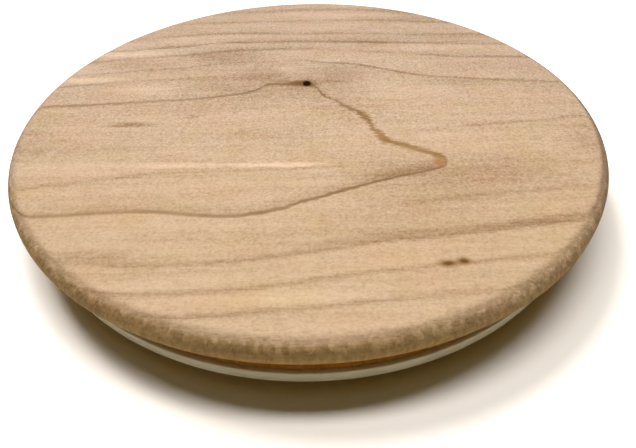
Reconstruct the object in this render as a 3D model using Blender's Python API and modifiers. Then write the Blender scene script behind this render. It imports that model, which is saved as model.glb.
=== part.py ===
"""Round wooden lid of a small cheese mould, modelled in metres with +Z up.

A turned maple lid disc has a rounded flange and a neck. A flat white silicone ring sits under the
neck, clamped by a thinner maple base disc, and four countersunk wood screws hold the stack together
from below. The origin is the centre of the bottom face, and the wood grain runs along X.
"""

import math

import bpy

MM = 0.001

# Driving dimensions, in millimetres
LID_DIAMETER = 100.0
TOTAL_HEIGHT = 12.3
FLANGE_THICKNESS = 3.7
NECK_DIAMETER = 95.0
SEAL_DIAMETER = 95.7
SEAL_THICKNESS = 1.9
SEAL_WIDTH = 3.9
BASE_DIAMETER = 93.0
BASE_FLANGE_THICKNESS = 1.3
SCREW_COUNT = 4
SCREW_CIRCLE_DIAMETER = 64.0
SCREW_FIRST_ANGLE = 45.0
SCREW_LENGTH = 10.0
SCREW_DIAMETER = 3.0
SCREW_CORE_DIAMETER = 2.1
SCREW_HEAD_DIAMETER = 6.0

# Edges and corners, in millimetres
TOP_EDGE_ROUND = 2.4
UNDER_EDGE_ROUND = 1.1
NECK_COVE = 0.5
NECK_CHAMFER = 0.4
SEAL_CORNER_ROUND = 0.2
SPIGOT_CHAMFER = 0.3
BASE_UPPER_CHAMFER = 0.2
BASE_LOWER_ROUND = 0.6

# Screw details, in millimetres
HEAD_RECESS = 0.3
HEAD_EDGE = 0.15
HEAD_EDGE_TAPER = 0.05
THREAD_PITCH = 1.1
THREAD_TURNS = 4
THREAD_CREST_START = 0.3  # fractions of the pitch, from the top of a turn
THREAD_CREST_END = 0.4
THREAD_ROOT_START = 0.7
POINT_LENGTH = 1.6
CROSS_SLOT_WIDTH = 0.85
CROSS_SLOT_LENGTH = 3.4
CROSS_SLOT_DEPTH = 1.0
DRILL_TIP_HEIGHT = 0.6
SCREW_STOP_ANGLES = (12.0, 71.0, 38.0, 55.0)  # degrees, one for each screw

# Clearance between neighbouring pieces, in millimetres
GAP = 0.3

# Facets round each turned shape
DISC_STEPS = 96
SCREW_STEPS = 16

# Facets along each round corner
TOP_EDGE_FACETS = 7
UNDER_EDGE_FACETS = 4
NECK_COVE_FACETS = 3
SEAL_CORNER_FACETS = 2
BASE_EDGE_FACETS = 4

# How far a cutter reaches past the face that it opens, in millimetres
CUTTER_OVERRUN = 1.0

# Levels and radii that follow from the dimensions above, in millimetres
LID_RADIUS = LID_DIAMETER / 2
NECK_RADIUS = NECK_DIAMETER / 2
FLANGE_UNDERSIDE = TOTAL_HEIGHT - FLANGE_THICKNESS
SEAL_BOTTOM = BASE_FLANGE_THICKNESS + GAP
SEAL_TOP = SEAL_BOTTOM + SEAL_THICKNESS
NECK_UNDERSIDE = SEAL_TOP + GAP
SEAL_OUTER_RADIUS = SEAL_DIAMETER / 2
SEAL_INNER_RADIUS = SEAL_OUTER_RADIUS - SEAL_WIDTH
SPIGOT_RADIUS = SEAL_INNER_RADIUS - GAP
BASE_RADIUS = BASE_DIAMETER / 2
SCREW_RADIUS = SCREW_DIAMETER / 2
SCREW_CORE_RADIUS = SCREW_CORE_DIAMETER / 2
SCREW_HEAD_RADIUS = SCREW_HEAD_DIAMETER / 2
HOLE_RADIUS = SCREW_RADIUS + GAP
SCREW_TIP = HEAD_RECESS + SCREW_LENGTH

MAPLE = (0.66, 0.47, 0.29)
MAPLE_BASE = (0.61, 0.43, 0.26)
WHITE_SILICONE = (0.82, 0.81, 0.78)
STAINLESS = (0.60, 0.59, 0.57)


def clear_scene():
    for old in list(bpy.data.objects):
        bpy.data.objects.remove(old, do_unlink=True)


def new_collection(name):
    collection = bpy.data.collections.new(name)
    bpy.context.scene.collection.children.link(collection)
    return collection


def new_material(name, color, roughness, metallic=0.0):
    material = bpy.data.materials.new(name)
    material.use_nodes = True
    shader = material.node_tree.nodes["Principled BSDF"]
    shader.inputs["Base Color"].default_value = (*color, 1.0)
    shader.inputs["Roughness"].default_value = roughness
    shader.inputs["Metallic"].default_value = metallic
    return material


def arc(center_r, center_z, radius, start_degrees, end_degrees, pieces):
    """Points (r, z) along a round corner, both ends included."""
    points = []
    for i in range(pieces + 1):
        angle = math.radians(start_degrees + (end_degrees - start_degrees) * i / pieces)
        points.append((center_r + radius * math.cos(angle), center_z + radius * math.sin(angle)))
    return points


def turned(name, outline, steps, collection, closed=False):
    """Turns an outline of (r, z) points, in millimetres, about the Z axis."""
    mesh = bpy.data.meshes.new(name)
    edges = [(i, i + 1) for i in range(len(outline) - 1)]
    if closed:
        edges.append((len(outline) - 1, 0))
    mesh.from_pydata([(r * MM, 0.0, z * MM) for r, z in outline], edges, [])
    obj = bpy.data.objects.new(name, mesh)
    collection.objects.link(obj)
    lathe = obj.modifiers.new("Lathe", "SCREW")
    lathe.axis = "Z"
    lathe.angle = math.tau
    lathe.steps = steps
    lathe.render_steps = steps
    lathe.use_merge_vertices = True
    lathe.merge_threshold = 0.00001
    lathe.use_smooth_shade = True
    return obj


def cut(obj, cutter):
    boolean = obj.modifiers.new("Cut " + cutter.name, "BOOLEAN")
    boolean.operation = "DIFFERENCE"
    boolean.solver = "EXACT"
    boolean.object = cutter


def hide_cutter(cutter):
    cutter.display_type = "WIRE"
    cutter.hide_render = True


def screw_places():
    """Centres (x, y) of the screws, in metres."""
    places = []
    for i in range(SCREW_COUNT):
        angle = math.radians(SCREW_FIRST_ANGLE) + math.tau * i / SCREW_COUNT
        radius = SCREW_CIRCLE_DIAMETER / 2 * MM
        places.append((radius * math.cos(angle), radius * math.sin(angle)))
    return places


def make_lid_disc(parts, cutters):
    """The turned top: a flat face, a rounded flange and a neck, with blind screw holes from below."""
    outline = [(0.0, TOTAL_HEIGHT)]
    outline += arc(LID_RADIUS - TOP_EDGE_ROUND, TOTAL_HEIGHT - TOP_EDGE_ROUND, TOP_EDGE_ROUND,
                   90, 0, TOP_EDGE_FACETS)
    outline += arc(LID_RADIUS - UNDER_EDGE_ROUND, FLANGE_UNDERSIDE + UNDER_EDGE_ROUND,
                   UNDER_EDGE_ROUND, 0, -90, UNDER_EDGE_FACETS)
    outline += arc(NECK_RADIUS + NECK_COVE, FLANGE_UNDERSIDE - NECK_COVE, NECK_COVE, 90, 180,
                   NECK_COVE_FACETS)
    outline += [
        (NECK_RADIUS, NECK_UNDERSIDE + NECK_CHAMFER),
        (NECK_RADIUS - NECK_CHAMFER, NECK_UNDERSIDE),
        (0.0, NECK_UNDERSIDE),
    ]
    disc = turned("lid_disc", outline, DISC_STEPS, parts)
    hole_end = SCREW_TIP + GAP
    hole = [
        (0.0, hole_end),
        (HOLE_RADIUS, hole_end - DRILL_TIP_HEIGHT),
        (HOLE_RADIUS, NECK_UNDERSIDE - CUTTER_OVERRUN),
        (0.0, NECK_UNDERSIDE - CUTTER_OVERRUN),
    ]
    for i, (x, y) in enumerate(screw_places()):
        cutter = turned(f"pilot_hole_{i + 1}", hole, SCREW_STEPS, cutters)
        cutter.location = (x, y, 0.0)
        hide_cutter(cutter)
        cut(disc, cutter)
    disc.data.materials.append(new_material("maple", MAPLE, 0.62))
    return disc


def make_seal_ring(parts):
    """A flat silicone ring with rounded corners, proud of the neck so that it grips the mould wall."""
    corners = (
        (SEAL_OUTER_RADIUS, SEAL_TOP, -1, -1, 90),
        (SEAL_OUTER_RADIUS, SEAL_BOTTOM, -1, 1, 0),
        (SEAL_INNER_RADIUS, SEAL_BOTTOM, 1, 1, -90),
        (SEAL_INNER_RADIUS, SEAL_TOP, 1, -1, -180),
    )
    outline = []
    for r, z, inward, upward, start in corners:
        center_r = r + inward * SEAL_CORNER_ROUND
        center_z = z + upward * SEAL_CORNER_ROUND
        outline += arc(center_r, center_z, SEAL_CORNER_ROUND, start, start - 90, SEAL_CORNER_FACETS)
    ring = turned("seal_ring", outline, DISC_STEPS, parts, closed=True)
    ring.data.materials.append(new_material("white_silicone", WHITE_SILICONE, 0.45))
    return ring


def make_base_disc(parts, cutters):
    """The clamping disc: a spigot inside the seal ring, a thin flange under it, countersunk holes."""
    outline = [
        (0.0, SEAL_TOP),
        (SPIGOT_RADIUS - SPIGOT_CHAMFER, SEAL_TOP),
        (SPIGOT_RADIUS, SEAL_TOP - SPIGOT_CHAMFER),
        (SPIGOT_RADIUS, BASE_FLANGE_THICKNESS),
        (BASE_RADIUS - BASE_UPPER_CHAMFER, BASE_FLANGE_THICKNESS),
        (BASE_RADIUS, BASE_FLANGE_THICKNESS - BASE_UPPER_CHAMFER),
    ]
    outline += arc(BASE_RADIUS - BASE_LOWER_ROUND, BASE_LOWER_ROUND, BASE_LOWER_ROUND, 0, -90,
                   BASE_EDGE_FACETS)
    outline += [(0.0, 0.0)]
    disc = turned("base_disc", outline, DISC_STEPS, parts)
    mouth_radius = SCREW_HEAD_RADIUS + GAP * math.sqrt(2)
    cone_start = HEAD_RECESS + HEAD_EDGE
    hole = [
        (0.0, SEAL_TOP + CUTTER_OVERRUN),
        (HOLE_RADIUS, SEAL_TOP + CUTTER_OVERRUN),
        (HOLE_RADIUS, cone_start + mouth_radius - HOLE_RADIUS),
        (mouth_radius, cone_start),
        (mouth_radius, -CUTTER_OVERRUN),
        (0.0, -CUTTER_OVERRUN),
    ]
    for i, (x, y) in enumerate(screw_places()):
        cutter = turned(f"countersunk_hole_{i + 1}", hole, SCREW_STEPS, cutters)
        cutter.location = (x, y, 0.0)
        hide_cutter(cutter)
        cut(disc, cutter)
    disc.data.materials.append(new_material("maple_base", MAPLE_BASE, 0.64))
    return disc


def screw_outline():
    """Outline of one wood screw, point up: the thread's ridges are drawn as rings."""
    thread_start = SCREW_TIP - POINT_LENGTH
    outline = [(0.0, SCREW_TIP), (SCREW_CORE_RADIUS, thread_start)]
    for turn in range(THREAD_TURNS):
        top = thread_start - turn * THREAD_PITCH
        outline += [
            (SCREW_RADIUS, top - THREAD_PITCH * THREAD_CREST_START),
            (SCREW_RADIUS, top - THREAD_PITCH * THREAD_CREST_END),
            (SCREW_CORE_RADIUS, top - THREAD_PITCH * THREAD_ROOT_START),
            (SCREW_CORE_RADIUS, top - THREAD_PITCH),
        ]
    cone_start = HEAD_RECESS + HEAD_EDGE
    outline += [
        (SCREW_CORE_RADIUS, cone_start + SCREW_HEAD_RADIUS - SCREW_CORE_RADIUS),
        (SCREW_HEAD_RADIUS, cone_start),
        (SCREW_HEAD_RADIUS - HEAD_EDGE_TAPER, HEAD_RECESS),
        (0.0, HEAD_RECESS),
    ]
    return outline


def make_cross_slots(cutters):
    """Two crossed bars that cut the driver recess of one screw standing on the Z axis."""
    slots = []
    for turn in range(2):
        bpy.ops.mesh.primitive_cube_add(size=1.0)
        slot = bpy.context.object
        slot.name = f"cross_slot_{turn + 1}"
        for owner in list(slot.users_collection):
            owner.objects.unlink(slot)
        cutters.objects.link(slot)
        slot.scale = (CROSS_SLOT_LENGTH * MM, CROSS_SLOT_WIDTH * MM, 2 * CROSS_SLOT_DEPTH * MM)
        slot.location = (0.0, 0.0, HEAD_RECESS * MM)
        slot.rotation_euler = (0.0, 0.0, turn * math.pi / 2)
        hide_cutter(slot)
        slots.append(slot)
    return slots


def make_base_screws(parts, cutters):
    """Identical screws that share one mesh, each stopped at its own angle."""
    pattern = turned("screw_pattern", screw_outline(), SCREW_STEPS, parts)
    pattern.data.materials.append(new_material("stainless", STAINLESS, 0.3, 1.0))
    for slot in make_cross_slots(cutters):
        cut(pattern, slot)
    bpy.context.view_layer.update()
    finished = pattern.evaluated_get(bpy.context.evaluated_depsgraph_get())
    screw_mesh = bpy.data.meshes.new_from_object(finished)
    screw_mesh.name = "base_screw"
    bpy.data.objects.remove(pattern, do_unlink=True)

    screws = []
    for i, (x, y) in enumerate(screw_places()):
        screw = bpy.data.objects.new(f"base_screw_{i + 1}", screw_mesh)
        screw.location = (x, y, 0.0)
        screw.rotation_euler = (0.0, 0.0, math.radians(SCREW_STOP_ANGLES[i]))
        parts.objects.link(screw)
        screws.append(screw)
    return screws


def main():
    clear_scene()
    parts = new_collection("cheese_mold_lid")
    cutters = new_collection("cutters")
    make_lid_disc(parts, cutters)
    make_seal_ring(parts)
    make_base_disc(parts, cutters)
    make_base_screws(parts, cutters)


main()
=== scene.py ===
"""Looks of the cheese mould lid: turned maple discs, a white silicone seal ring and stainless screws."""

import math

import bmesh
import bpy
from mathutils import Matrix, Vector, noise


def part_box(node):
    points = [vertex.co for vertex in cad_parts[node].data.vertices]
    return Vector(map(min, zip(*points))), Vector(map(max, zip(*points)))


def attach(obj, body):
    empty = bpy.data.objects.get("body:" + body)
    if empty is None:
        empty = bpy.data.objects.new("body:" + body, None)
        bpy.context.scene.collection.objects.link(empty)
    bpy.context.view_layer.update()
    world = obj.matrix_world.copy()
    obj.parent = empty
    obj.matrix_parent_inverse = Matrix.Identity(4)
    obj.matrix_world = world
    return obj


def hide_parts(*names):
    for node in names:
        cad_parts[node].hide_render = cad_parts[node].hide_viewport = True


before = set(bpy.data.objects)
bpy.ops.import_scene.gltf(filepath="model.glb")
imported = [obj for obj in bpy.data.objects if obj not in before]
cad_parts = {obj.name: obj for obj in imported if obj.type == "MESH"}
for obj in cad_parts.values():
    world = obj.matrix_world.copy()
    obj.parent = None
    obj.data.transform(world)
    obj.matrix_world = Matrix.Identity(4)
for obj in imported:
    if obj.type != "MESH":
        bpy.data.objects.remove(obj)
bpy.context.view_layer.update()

MM = 0.001

# ---------------------------------------------------------------------------
# Sizes read from the frame, in millimetres
# ---------------------------------------------------------------------------


def box_mm(node):
    low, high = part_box(node)
    return low / MM, high / MM


lid_low, lid_high = box_mm("lid_disc")
seal_low, seal_high = box_mm("seal_ring")
base_high = box_mm("base_disc")[1]

LID_RADIUS = lid_high.x
TOP_Z = lid_high.z
NECK_BOTTOM_Z = lid_low.z
SEAL_RADIUS = seal_high.x
SEAL_BOTTOM_Z = seal_low.z
SEAL_TOP_Z = seal_high.z
BASE_RADIUS = base_high.x
BASE_TOP_Z = base_high.z

# Details that the boxes don't give, as the CAD model has them, in millimetres
FLANGE_THICKNESS = 3.7
FLANGE_Z = TOP_Z - FLANGE_THICKNESS
TOP_EDGE_ROUND = 2.4
UNDER_EDGE_ROUND = 1.1
NECK_RADIUS = 47.5
NECK_COVE = 0.5
NECK_CHAMFER = 0.4
SEAL_WIDTH = 3.9
SEAL_CORNER_ROUND = 0.2
SPIGOT_RADIUS = 43.65
SPIGOT_CHAMFER = 0.3
BASE_FLANGE_THICKNESS = 1.3
BASE_UPPER_CHAMFER = 0.2
BASE_LOWER_ROUND = 0.6
HOLE_RADIUS = 1.8
HOLE_TOP_Z = 10.6
DRILL_TIP_HEIGHT = 0.6
COUNTERSINK_RADIUS = 3.42
HEAD_RADIUS = 3.0
HEAD_RECESS = 0.3
HEAD_EDGE = 0.15
SCREW_RADIUS = 1.5
SCREW_CORE_RADIUS = 1.05
SCREW_TIP_Z = 10.3
THREAD_PITCH = 1.1

# The head's edge: inset from its radius and depth from its face
HEAD_PROFILE = ((0.12, 0.0), (0.03, 0.04), (0.0, HEAD_EDGE))

# Finer details, in millimetres where a comment says nothing else
THREAD_START = 3.6                      # from the head's face to the first turn
THREAD_ROWS = 110                       # steps of the mesh along the screw
RIDGE_HALF_WIDTH = 0.28                 # of the thread, as a share of its pitch
CREST_SHARPNESS = 1.25                  # above 1 the thread's crest is flat
TIP_TAPER = 2.2
TIP_BULGE = 0.7                         # power that keeps the last turns of the thread full
TIP_FLAT = 0.02
THINNEST = 0.01
SCREW_COUNT = 4
SCREW_STOPS = (12.0, 71.0, 38.0, 55.0)  # degrees: how far round each screw's cross came to rest
CROSS_MOUTH = (3.9, 0.95, -0.4)         # length, width and height of a bar of the cross at its mouth
CROSS_BOTTOM = (1.5, 0.5, 1.15)
SEAM_HEIGHT = 0.03                      # the seal's parting ridge
SEAM_HALF_WIDTH = 0.07
SEAM_HALF_CREST = 0.02
SANDING_SWAY = 0.05                     # unevenness of the hand-sanded edge
SANDING_LOSS = 0.03
SANDING_WAVES = 3.0                     # how quickly it changes round the edge
SANDING_RISE = 0.4                      # and from its top to its underside
SANDING_TOP_MARGIN = 0.2                # strips beside the flat faces that stay even
SANDING_UNDER_MARGIN = 0.05
OVERRUN = 1.0                           # how far a cutter reaches past the face that it cuts
ON_AXIS = 1e-6

DISC_STEPS = 384
SCREW_STEPS = 48


# ---------------------------------------------------------------------------
# Turned shapes
# ---------------------------------------------------------------------------


def link(item):
    bpy.context.scene.collection.objects.link(item)


def finished_mesh(bm, name):
    mesh = bpy.data.meshes.new(name)
    bm.to_mesh(mesh)
    bm.free()
    return mesh


def arc(center_r, center_z, radius, start_degrees, end_degrees, pieces):
    """Points (r, z) along a round corner, both ends included."""
    points = []
    for i in range(pieces + 1):
        angle = math.radians(start_degrees + (end_degrees - start_degrees) * i / pieces)
        points.append((center_r + radius * math.cos(angle), center_z + radius * math.sin(angle)))
    return points


def turned_mesh(outline, steps, closed=False, wobble=None):
    """Turns (r, z) points in millimetres about Z. Points on the axis become single pole vertices."""
    bm = bmesh.new()
    rows = []
    for r, z in outline:
        if r < ON_AXIS:
            rows.append([bm.verts.new((0.0, 0.0, z * MM))])
            continue
        row = []
        for k in range(steps):
            angle = math.tau * k / steps
            extra_r, extra_z = wobble(r, z, angle) if wobble else (0.0, 0.0)
            radius = (r + extra_r) * MM
            row.append(bm.verts.new((radius * math.cos(angle), radius * math.sin(angle), (z + extra_z) * MM)))
        rows.append(row)
    if closed:
        rows.append(rows[0])
    for upper, lower in zip(rows, rows[1:]):
        for k in range(steps):
            n = (k + 1) % steps
            if len(upper) == 1:
                bm.faces.new((upper[0], lower[k], lower[n]))
            elif len(lower) == 1:
                bm.faces.new((upper[k], lower[0], upper[n]))
            else:
                bm.faces.new((upper[k], lower[k], lower[n], upper[n]))
    bmesh.ops.recalc_face_normals(bm, faces=bm.faces)
    return finished_mesh(bm, "turned")


def add_piece(name, mesh, material, sharp_degrees=35.0):
    mesh.name = name
    mesh.materials.clear()
    mesh.materials.append(material)
    mesh.shade_smooth()
    mesh.set_sharp_from_angle(angle=math.radians(sharp_degrees))
    piece = bpy.data.objects.new(name, mesh)
    link(piece)
    return piece


def cut_away(mesh, cutters):
    """Cuts the cutter objects out of a mesh, removes them and returns the new mesh."""
    blank = bpy.data.objects.new("blank", mesh)
    link(blank)
    for cutter in cutters:
        link(cutter)
        cut = blank.modifiers.new("cut", "BOOLEAN")
        cut.solver = "EXACT"
        cut.object = cutter
    bpy.context.view_layer.update()
    depsgraph = bpy.context.evaluated_depsgraph_get()
    remaining = bpy.data.meshes.new_from_object(blank.evaluated_get(depsgraph))
    for used in [blank, *cutters]:
        bpy.data.objects.remove(used, do_unlink=True)
    return remaining


def drill(mesh, hole_outline, places):
    """Cuts the same turned hole at each place and returns the drilled mesh."""
    cutters = []
    for x, y in places:
        cutter = bpy.data.objects.new("drill", turned_mesh(hole_outline, SCREW_STEPS))
        cutter.location = (x, y, 0.0)
        cutters.append(cutter)
    return cut_away(mesh, cutters)


def screw_centers():
    centers = []
    for i in range(1, SCREW_COUNT + 1):
        low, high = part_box(f"base_screw_{i}")
        centers.append(((low.x + high.x) / 2, (low.y + high.y) / 2))
    return centers


# ---------------------------------------------------------------------------
# Shader nodes
# ---------------------------------------------------------------------------


class Graph:
    """Short calls for shader nodes."""

    def __init__(self, tree):
        self.tree = tree

    def add(self, kind, **settings):
        node = self.tree.nodes.new(kind)
        for key, value in settings.items():
            setattr(node, key, value)
        return node

    def feed(self, socket, value):
        if isinstance(value, bpy.types.NodeSocket):
            self.tree.links.new(value, socket)
        elif value is not None:
            socket.default_value = value

    def math(self, operation, a, b=None, c=None):
        node = self.add("ShaderNodeMath", operation=operation)
        for socket, value in zip(node.inputs, (a, b, c)):
            self.feed(socket, value)
        return node.outputs[0]

    def place_mm(self):
        """Object coordinates in millimetres."""
        return self.vector("SCALE", self.add("ShaderNodeTexCoord").outputs["Object"], scale=1 / MM)

    def vector(self, operation, a, b=None, scale=None):
        node = self.add("ShaderNodeVectorMath", operation=operation)
        self.feed(node.inputs[0], a)
        self.feed(node.inputs[1], b)
        if scale is not None:
            self.feed(node.inputs["Scale"], scale)
        return node.outputs["Value" if operation in ("LENGTH", "DOT_PRODUCT", "DISTANCE") else "Vector"]

    def join(self, x, y, z):
        node = self.add("ShaderNodeCombineXYZ")
        for socket, value in zip(node.inputs, (x, y, z)):
            self.feed(socket, value)
        return node.outputs[0]

    def split(self, vector):
        node = self.add("ShaderNodeSeparateXYZ")
        self.feed(node.inputs[0], vector)
        return node.outputs

    def noise(self, vector, detail=2.0, roughness=0.5):
        """Noise value, centred on 0.5."""
        node = self.add("ShaderNodeTexNoise")
        self.feed(node.inputs["Vector"], vector)
        node.inputs["Scale"].default_value = 1.0
        node.inputs["Detail"].default_value = detail
        node.inputs["Roughness"].default_value = roughness
        return node.outputs[0]

    def ramp(self, value, low, high, out_low=0.0, out_high=1.0):
        """Smooth step from out_low at low to out_high at high."""
        node = self.add("ShaderNodeMapRange", interpolation_type="SMOOTHSTEP")
        for socket, v in zip(node.inputs, (value, low, high, out_low, out_high)):
            self.feed(socket, v)
        return node.outputs[0]

    def line(self, value, low, high, out_low=0.0, out_high=1.0):
        node = self.add("ShaderNodeMapRange", interpolation_type="LINEAR", clamp=True)
        for socket, v in zip(node.inputs, (value, low, high, out_low, out_high)):
            self.feed(socket, v)
        return node.outputs[0]

    def curve(self, value, points):
        """A smooth curve through (0..1, 0..1) points."""
        node = self.add("ShaderNodeFloatCurve")
        track = node.mapping.curves[0]
        while len(track.points) > 2:
            track.points.remove(track.points[1])
        track.points[0].location = points[0]
        track.points[1].location = points[-1]
        for x, y in points[1:-1]:
            track.points.new(x, y)
        for point in track.points:
            point.handle_type = "AUTO_CLAMPED"
        node.mapping.extend = "HORIZONTAL"
        node.mapping.update()
        self.feed(node.inputs["Value"], value)
        return node.outputs[0]

    def mix(self, factor, a, b, kind="MIX"):
        node = self.add("ShaderNodeMix", data_type="RGBA", blend_type=kind, clamp_factor=True)
        self.feed(node.inputs[0], factor)
        self.feed(node.inputs[6], a)
        self.feed(node.inputs[7], b)
        return node.outputs[2]

    def bump(self, height, strength, distance):
        node = self.add("ShaderNodeBump")
        node.inputs["Strength"].default_value = strength
        node.inputs["Distance"].default_value = distance
        self.feed(node.inputs["Height"], height)
        return node.outputs[0]


class MaterialGraph(Graph):
    """The nodes of a new material, with its Principled shader at hand."""

    def __init__(self, name):
        self.material = bpy.data.materials.new(name)
        self.material.use_nodes = True
        super().__init__(self.material.node_tree)
        self.shader = self.tree.nodes["Principled BSDF"]


def rgb(red, green, blue):
    """Linear colour of an sRGB triple from 0 to 255."""
    linear = []
    for value in (red, green, blue):
        v = value / 255
        linear.append(v / 12.92 if v <= 0.04045 else ((v + 0.055) / 1.055) ** 2.4)
    return (*linear, 1.0)


# ---------------------------------------------------------------------------
# Maple
# ---------------------------------------------------------------------------

# The board is flat sawn, with its pith above the top face
PITH_Y = -10.0
PITH_HEIGHT = 100.0
PITH_SOFTNESS = 30.0
NEVER_ZERO = 1e-4
GRAIN_DRIFT = 3.0
CURVE_SPAN = 56.0

# Growth lines on the top face: points as (x, y, strength) with x and y in millimetres, half width, and
# the soft shade beside the line as (side, width, gain), where side +1 lies towards +Y
GROWTH_LINES = (
    ([(-26, 41.6, 0.1), (-12, 43.2, 0.25), (0, 43.9, 0.36), (12, 43.6, 0.36), (26, 41.5, 0.25)],
     1.7, (1, 3.0, 0.4)),
    ([(-36, 35.3, 0.13), (-22, 37.0, 0.21), (-10, 37.3, 0.21), (0, 37.6, 0.3), (10, 37.7, 0.38),
      (20, 36.8, 0.38), (38, 34.4, 0.34)], 1.14, (1, 3.2, 0.45)),
    ([(-42, 28.4, 0.16), (-30, 29.8, 0.28), (-24, 30.8, 0.34), (-15, 31.4, 0.4), (-7, 31.0, 0.36),
      (-4, 30.8, 0.18), (3, 30.9, 0.32), (14, 30.2, 0.19), (26, 29.0, 0.36), (42, 29.0, 0.24)],
     1.12, (-1, 2.8, 0.5)),
    ([(-46, 22.4, 0.3), (-38, 23.2, 0.47), (-30, 24.2, 0.42), (-25, 25.0, 0.42), (-20, 26.0, 0.36),
      (-16, 26.4, 0.61), (-9, 26.6, 0.49), (-2, 26.6, 0.55), (4, 26.3, 0.47), (12, 25.7, 0.68),
      (17, 25.2, 0.59), (24, 24.7, 0.36), (36, 24.0, 0.3), (47, 23.6, 0.21)], 0.98, (1, 3.4, 0.42)),
    ([(-48, 17.4, 0.24), (-38, 18.9, 0.28), (-28, 20.3, 0.4), (-22, 21.2, 0.36), (-15, 22.4, 0.42),
      (-9, 22.6, 0.44), (-2, 22.7, 0.34), (6, 22.0, 0.21), (14, 21.0, 0.18), (20, 19.9, 0.14),
      (23, 19.4, 0.4), (29, 18.4, 0.48), (38, 17.8, 0.4), (48, 17.4, 0.36)], 0.96, (1, 2.6, 0.42)),
    ([(-49, 12.2, 0.24), (-42, 13.0, 0.29), (-34, 13.9, 0.26), (-28, 14.5, 0.36), (-22, 15.6, 0.29),
      (-16, 16.9, 0.24), (-8, 17.5, 0.18), (-2, 17.6, 0.29), (4, 16.4, 0.4), (9, 15.6, 0.5), (13, 14.1, 0.6),
      (18, 12.1, 0.53), (24, 10.2, 0.48), (30, 9.2, 0.42), (38, 8.0, 0.4), (49, 7.0, 0.34)],
     0.72, (-1, 2.4, 0.4)),
    ([(-50, 7.4, 0.3), (-42, 8.8, 0.28), (-34, 9.9, 0.2), (-20, 11.0, 0.1), (-8, 13.0, 0.0)],
     0.7, (-1, 3.0, 0.4)),
    ([(14, -8.6, 0.0), (24, -7.8, 0.23), (34, -6.5, 0.29), (49, -4.5, 0.23)], 0.84, (-1, 2.0, 0.4)),
    ([(-46, -23.2, 0.15), (-38, -21.6, 0.26), (-30, -20.3, 0.26), (-26, -19.6, 0.36), (-21, -19.0, 0.24),
      (-12, -18.8, 0.24), (0, -18.3, 0.2), (8, -17.6, 0.0)], 0.83, (1, 1.6, 0.2)),
    ([(4, -28.2, 0.0), (14, -26.8, 0.14), (24, -25.3, 0.21), (36, -24.0, 0.18), (48, -22.6, 0.14)],
     1.08, (1, 2.0, 0.4)),
    ([(-36, -36.6, 0.19), (-25, -37.5, 0.22), (-18, -37.7, 0.26), (-8, -37.0, 0.29), (0, -35.8, 0.37),
      (5, -34.9, 0.38), (10, -33.8, 0.37), (15, -33.4, 0.34), (24, -32.3, 0.38), (34, -31.0, 0.41),
      (44, -29.6, 0.31)], 0.93, (1, 3.2, 0.62)),
    ([(-4, -35.6, 0.0), (8, -33.1, 0.18), (16, -32.4, 0.22), (26, -31.2, 0.25), (34, -30.1, 0.31),
      (44, -28.6, 0.27)], 0.9, (1, 1.6, 0.3)),
    ([(-34, -41.8, 0.14), (-24, -42.0, 0.29), (-10, -41.8, 0.33), (-4, -41.1, 0.3), (2, -40.1, 0.33),
      (8, -39.2, 0.3), (15, -38.4, 0.37), (20, -37.9, 0.37), (28, -36.9, 0.3), (40, -35.4, 0.22)],
     0.72, (-1, 1.6, 0.35)),
    ([(-24, -46.0, 0.29), (-12, -45.5, 0.36), (-4, -44.9, 0.36), (2, -44.3, 0.37), (10, -43.3, 0.4),
      (16, -42.9, 0.33), (24, -42.2, 0.22), (38, -40.4, 0.18)], 0.78, (1, 1.8, 0.4)),
    ([(-34, -38.9, 0.1), (-20, -38.9, 0.2), (-10, -38.6, 0.0)], 0.5, (1, 1.2, 0.3)),
)

# Centre and half sizes of the pin knot, of its brown halo and of the tongue's orange tip
KNOT = (-0.35, 7.9, 0.98, 1.22)
HALO = (-1.05, 7.9, 3.6, 1.9)
TONGUE_TIP = (20.2, -17.3, 1.1, 1.4)

# The dark zone line runs in from the left, through the pin knot, out to the tongue's tip and back
ZONE_UPPER = [(-50, 0.6), (-40, 1.2), (-28, 2.1), (-17, 3.4), (-10.4, 5.3), (-7, 7.8), (-2.5, 7.8),
              (0.5, 7.0), (2.4, 4.4), (4.4, 2.2), (6.3, -0.2), (8.1, -2.2), (9.7, -4.2), (10.8, -7.2),
              (12.3, -10.7), (15.6, -12.8), (20.2, -15.5), (21.4, -16.9)]
ZONE_LOWER = [(-50, -28.8), (-36, -28.3), (-24, -27.6), (-11, -28.8), (-6, -28.0), (0, -25.8), (8.1, -22.5),
              (12.3, -21.0), (18.4, -19.2), (20.6, -18.2), (21.4, -16.9)]

# Half height of the upper zone line at each x: tall where the line runs steeply
ZONE_REACH = [(-50, 0.6), (-1, 0.55), (1, 0.85), (7, 0.95), (9, 1.5), (10.2, 2.6), (11.6, 2.8),
              (13, 1.35), (22, 1.2)]
TALLEST_REACH = 4.0

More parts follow.
